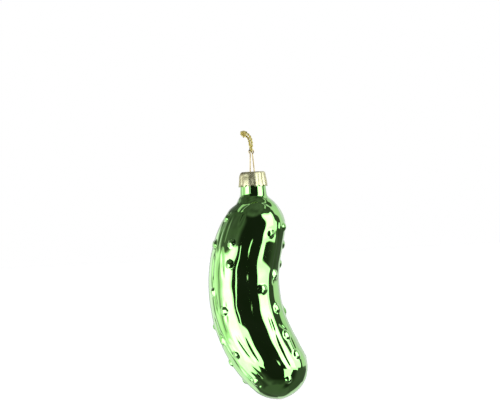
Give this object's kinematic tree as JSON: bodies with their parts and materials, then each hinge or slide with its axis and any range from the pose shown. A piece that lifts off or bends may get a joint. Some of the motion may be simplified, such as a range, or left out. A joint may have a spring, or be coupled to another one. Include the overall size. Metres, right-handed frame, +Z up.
{
  "type": "pickle ornament",
  "caption": "Mirror-green blown-glass pickle with warts, for a Christmas tree: a wire hanger springs into its neck through a fluted metal cap, and a gold cord is tied through the wire eye.",
  "frame": {"origin": "the hanging point on the neck axis, where a hook passes between the two strands of cord", "axes": "+Z up along the neck axis, -Y to the front of the pickle, +X to the right, the side that the tip bends to"},
  "size_m": [0.0402, 0.0302, 0.1138],
  "materials": {
    "green_glass": "silvered inside, clear green lacquer outside",
    "cap_metal": "stamped champagne-coloured sheet",
    "hanger_wire": "bright drawn wire",
    "gold_cord": "twisted metallic yarn"
  },
  "bodies": {
    "cord": {"hanging_cord": "gold_cord"},
    "hanger": {"cap": "cap_metal", "hanger_wire": "hanger_wire"},
    "glass": {"glass_body": "green_glass"}
  },
  "joints": [
    {"name": "ornament_swing", "type": "hinge", "parent": "cord", "child": "hanger", "pos_m": [0, 0, -0.00555], "axis": [1, 0, 0], "range_deg": [-75, 75]},
    {"name": "glass_pull", "type": "slide", "parent": "hanger", "child": "glass", "axis": [0, 0, -1], "range_m": [0, 0.018]}
  ]
}
